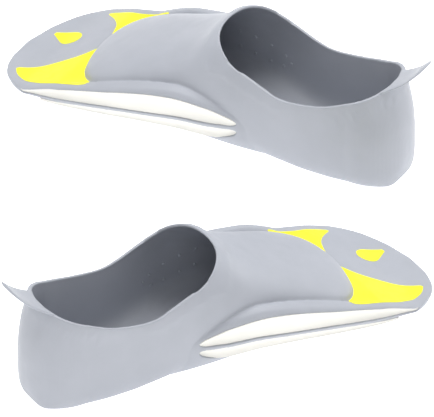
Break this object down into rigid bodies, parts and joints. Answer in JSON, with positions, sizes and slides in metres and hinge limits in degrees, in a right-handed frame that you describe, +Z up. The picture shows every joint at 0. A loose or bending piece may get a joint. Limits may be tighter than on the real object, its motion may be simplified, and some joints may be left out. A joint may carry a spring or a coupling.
{
  "type": "swim fins",
  "caption": "Pair of short closed-heel silicone training swim fins with flexing blades, side channel inlays, colour panels on the blades and heel pull tabs.",
  "frame": {"origin": "on the floor, at the middle of the pair's outline seen from above", "axes": "+Z up; +Y from the left fin to the right fin, across the pair's longest side; +X to the right fin's heel side"},
  "size_m": [0.349, 0.5432, 0.1232],
  "materials": {
    "grey_silicone": "matt to satin moulded silicone, light blue grey",
    "yellow_silicone": "matt bright yellow silicone inlay",
    "white_silicone": "satin warm white silicone inlay"
  },
  "bodies": {
    "right_pocket": {"right_foot_pocket": "grey_silicone", "right_inner_upper_channel_rear": "white_silicone", "right_inner_lower_channel_rear": "white_silicone", "right_outer_upper_channel_rear": "white_silicone", "right_outer_lower_channel_rear": "white_silicone"},
    "right_blade": {"right_blade": "grey_silicone", "right_inner_upper_channel_front": "white_silicone", "right_inner_lower_channel_front": "white_silicone", "right_outer_upper_channel_front": "white_silicone", "right_outer_lower_channel_front": "white_silicone", "right_inner_panel": "yellow_silicone", "right_outer_panel": "yellow_silicone", "right_center_drop": "yellow_silicone"},
    "right_tab": {"right_heel_tab": "grey_silicone"},
    "left_pocket": {"left_foot_pocket": "grey_silicone", "left_inner_upper_channel_rear": "white_silicone", "left_inner_lower_channel_rear": "white_silicone", "left_outer_upper_channel_rear": "white_silicone", "left_outer_lower_channel_rear": "white_silicone"},
    "left_blade": {"left_blade": "grey_silicone", "left_inner_upper_channel_front": "white_silicone", "left_inner_lower_channel_front": "white_silicone", "left_outer_upper_channel_front": "white_silicone", "left_outer_lower_channel_front": "white_silicone", "left_inner_panel": "yellow_silicone", "left_outer_panel": "yellow_silicone", "left_center_drop": "yellow_silicone"},
    "left_tab": {"left_heel_tab": "grey_silicone"}
  },
  "joints": [
    {"name": "right_blade_flex", "type": "hinge", "parent": "right_pocket", "child": "right_blade", "pos_m": [-0.08909, 0.19701, 0.0144], "axis": [0.5299, 0.848, 0], "range_deg": [-20, 30], "stiffness_Nm_per_rad": 6},
    {"name": "right_tab_flex", "type": "hinge", "parent": "right_pocket", "child": "right_tab", "pos_m": [0.14599, 0.05011, 0.0962], "axis": [-0.5299, -0.848, 0], "range_deg": [-25, 45], "stiffness_Nm_per_rad": 0.02},
    {"name": "left_blade_flex", "type": "hinge", "parent": "left_pocket", "child": "left_blade", "pos_m": [0.08909, -0.10099, 0.0144], "axis": [0.5299, -0.848, 0], "range_deg": [-20, 30], "stiffness_Nm_per_rad": 6},
    {"name": "left_tab_flex", "type": "hinge", "parent": "left_pocket", "child": "left_tab", "pos_m": [-0.14599, -0.24789, 0.0962], "axis": [-0.5299, 0.848, 0], "range_deg": [-25, 45], "stiffness_Nm_per_rad": 0.02},
    {"name": "left_lift", "type": "slide", "parent": "right_pocket", "child": "left_pocket", "axis": [0, 0, 1], "range_m": [0, 0.25]}
  ]
}
